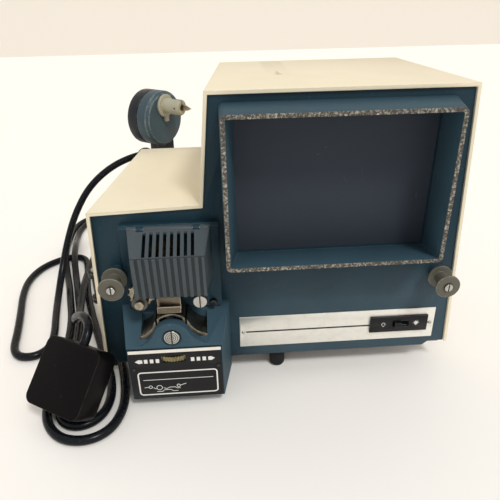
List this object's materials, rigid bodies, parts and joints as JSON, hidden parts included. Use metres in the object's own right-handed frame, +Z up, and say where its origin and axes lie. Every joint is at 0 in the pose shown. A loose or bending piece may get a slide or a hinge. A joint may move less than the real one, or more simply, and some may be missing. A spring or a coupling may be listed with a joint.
{
  "type": "film editor viewer",
  "caption": "Film editor viewer for narrow cine film: hooded screen, lamp house, focus wheel, gate, film rollers and two swing-out rewind arms with geared spindles, with a mains cord.",
  "frame": {"origin": "on the table, under the middle of the viewer without its mains cord", "axes": "+X to the right seen from the front, +Y to the back, +Z up; the screen faces -Y"},
  "size_m": [0.3678, 0.365, 0.2075],
  "materials": {
    "blue_paint": "satin",
    "blue_plastic": "satin moulded",
    "cream_plastic": "fine grained",
    "base_steel": "satin",
    "foot_rubber": "matt",
    "screw_steel": "worn nickel",
    "worn_foil": "worn foil",
    "screen_sheet": "translucent grey",
    "mirror_glass": "polished",
    "lens_glass": "polished",
    "name_aluminium": "brushed",
    "label_black": "printed",
    "gate_chrome": "worn",
    "wheel_brass": "dull",
    "barrel_black": "anodised",
    "film_steel": "worn",
    "roller_grey": "worn nylon",
    "lamp_grey": "satin",
    "black_plastic": "moulded",
    "cord_black": "semi-gloss",
    "plug_black": "worn moulded",
    "pin_brass": "polished",
    "core_iron": "varnished",
    "arm_steel": "satin",
    "unit_blue": "satin moulded",
    "wheel_dark": "satin moulded",
    "spindle_cream": "moulded",
    "latch_steel": "tarnished"
  },
  "bodies": {
    "case": {"arm_brackets": "arm_steel", "base_plate": "base_steel", "cord_gland": "foot_rubber", "cord_hank": "cord_black", "cord_peg": "black_plastic", "film_gate": "gate_chrome", "film_studs": "screw_steel", "focus_plate": "label_black", "front_panel": "blue_paint", "gate_housing": "blue_plastic", "gear_bridge": "base_steel", "hinge_pins": "screw_steel", "hood_trim": "worn_foil", "lamp_bulb": "lens_glass", "lamp_plinth": "blue_paint", "lamp_socket": "black_plastic", "mirror_mounts": "base_steel", "nameplate": "name_aluminium", "panel_screws": "screw_steel", "plug_body": "plug_black", "plug_pins": "pin_brass", "power_cord": "cord_black", "rear_shell": "cream_plastic", "reflector": "wheel_brass", "rubber_feet": "foot_rubber", "screen_hood": "blue_plastic", "screen_mirror": "mirror_glass", "small_mirrors": "mirror_glass", "switch_bezel": "black_plastic", "switch_body": "black_plastic", "transformer": "core_iron", "viewing_screen": "screen_sheet"},
    "lamp_cover": {"lamp_house": "lamp_grey", "pressure_plate": "gate_chrome"},
    "focus_ring": {"focus_wheel": "wheel_brass"},
    "lens": {"lens_barrel": "barrel_black", "lens_glass": "lens_glass"},
    "sprocket": {"film_sprocket": "film_steel", "sprocket_gear": "wheel_brass"},
    "prism_rotor": {"prism": "lens_glass", "prism_shaft": "barrel_black"},
    "framer": {"framing_screw": "screw_steel"},
    "guide": {"guide_roller": "film_steel"},
    "left_roller": {"left_film_roller": "roller_grey"},
    "right_roller": {"right_film_roller": "roller_grey"},
    "switch_knob": {"switch_slider": "black_plastic"},
    "marker": {"marker_button": "black_plastic"},
    "left_rewind_arm": {"left_arm": "arm_steel", "left_gear_housing": "unit_blue"},
    "left_crank": {"left_crank_wheel": "wheel_dark"},
    "left_handle": {"left_crank_knob": "black_plastic"},
    "left_reel_spindle": {"left_spindle": "spindle_cream"},
    "left_latch": {"left_spindle_latch": "latch_steel"},
    "right_rewind_arm": {"right_arm": "arm_steel", "right_gear_housing": "unit_blue"},
    "right_crank": {"right_crank_wheel": "wheel_dark"},
    "right_handle": {"right_crank_knob": "black_plastic"},
    "right_reel_spindle": {"right_spindle": "spindle_cream"},
    "right_latch": {"right_spindle_latch": "latch_steel"}
  },
  "joints": [
    {"name": "lamp_house_hinge", "type": "hinge", "parent": "case", "child": "lamp_cover", "pos_m": [-0.0703, -0.0805, 0.126], "axis": [-1, 0, 0], "range_deg": [0, 70]},
    {"name": "focus_turn", "type": "hinge", "parent": "case", "child": "focus_ring", "pos_m": [-0.0728, -0.088, 0.0425], "axis": [0, 0, 1], "range_deg": [-135, 135]},
    {"name": "lens_slide", "type": "slide", "parent": "case", "child": "lens", "axis": [0, 0, 1], "range_m": [-0.0012, 0.0012]},
    {"name": "sprocket_spin", "type": "hinge", "parent": "case", "child": "sprocket", "pos_m": [-0.0918, -0.08, 0.08024], "axis": [0, 1, 0], "continuous": true},
    {"name": "prism_spin", "type": "hinge", "parent": "case", "child": "prism_rotor", "pos_m": [-0.0728, -0.08, 0.0586], "axis": [0, 1, 0], "continuous": true},
    {"name": "framing_turn", "type": "hinge", "parent": "case", "child": "framer", "pos_m": [-0.0728, -0.103, 0.0586], "axis": [0, 1, 0], "range_deg": [-90, 90]},
    {"name": "guide_roller_spin", "type": "hinge", "parent": "case", "child": "guide", "pos_m": [-0.0531, -0.0964, 0.0819], "axis": [0, 1, 0], "continuous": true},
    {"name": "left_film_roller_spin", "type": "hinge", "parent": "case", "child": "left_roller", "pos_m": [-0.1083, -0.08, 0.0919], "axis": [0, 1, 0], "continuous": true},
    {"name": "right_film_roller_spin", "type": "hinge", "parent": "case", "child": "right_roller", "pos_m": [0.1098, -0.08, 0.0813], "axis": [0, 1, 0], "continuous": true},
    {"name": "switch_slide", "type": "slide", "parent": "case", "child": "switch_knob", "axis": [1, 0, 0], "range_m": [0, 0.005]},
    {"name": "marker_press", "type": "slide", "parent": "case", "child": "marker", "axis": [0, 1, 0], "range_m": [0, 0.003], "stiffness_N_per_m": 250, "springref_m": -0.002},
    {"name": "left_arm_swing", "type": "hinge", "parent": "case", "child": "left_rewind_arm", "pos_m": [-0.1285, -0.048, 0.068], "axis": [0, 0, 1], "range_deg": [0, 126]},
    {"name": "left_crank_spin", "type": "hinge", "parent": "left_rewind_arm", "child": "left_crank", "pos_m": [-0.09424, 0.07894, 0.1593], "axis": [0.809, -0.5878, 0], "continuous": true},
    {"name": "left_handle_spin", "type": "hinge", "parent": "left_crank", "child": "left_handle", "pos_m": [-0.09595, 0.09871, 0.1593], "axis": [0.809, -0.5878, 0], "continuous": true},
    {"name": "left_spindle_spin", "type": "hinge", "parent": "left_rewind_arm", "child": "left_reel_spindle", "pos_m": [-0.07887, 0.06777, 0.1703], "axis": [0.809, -0.5878, 0], "continuous": true},
    {"name": "left_latch_flip", "type": "hinge", "parent": "left_reel_spindle", "child": "left_latch", "pos_m": [-0.06795, 0.05984, 0.1703], "axis": [-0.5878, -0.809, 0], "range_deg": [0, 75]},
    {"name": "right_arm_swing", "type": "hinge", "parent": "case", "child": "right_rewind_arm", "pos_m": [0.1285, -0.048, 0.068], "axis": [0, 0, 1], "range_deg": [-126, 0]},
    {"name": "right_crank_spin", "type": "hinge", "parent": "right_rewind_arm", "child": "right_crank", "pos_m": [0.09424, 0.07894, 0.1593], "axis": [-0.809, -0.5878, 0], "continuous": true},
    {"name": "right_handle_spin", "type": "hinge", "parent": "right_crank", "child": "right_handle", "pos_m": [0.09595, 0.09871, 0.1593], "axis": [-0.809, -0.5878, 0], "continuous": true},
    {"name": "right_spindle_spin", "type": "hinge", "parent": "right_rewind_arm", "child": "right_reel_spindle", "pos_m": [0.07887, 0.06777, 0.1703], "axis": [-0.809, -0.5878, 0], "continuous": true},
    {"name": "right_latch_flip", "type": "hinge", "parent": "right_reel_spindle", "child": "right_latch", "pos_m": [0.06795, 0.05984, 0.1703], "axis": [-0.5878, 0.809, 0], "range_deg": [0, 75]}
  ],
  "couplings": [
    {"joint": "lens_slide", "follows": "focus_turn", "m_per_rad": 0.0005},
    {"joint": "prism_spin", "follows": "sprocket_spin", "ratio": -3},
    {"joint": "left_spindle_spin", "follows": "left_crank_spin", "ratio": 3},
    {"joint": "right_spindle_spin", "follows": "right_crank_spin", "ratio": 3}
  ]
}
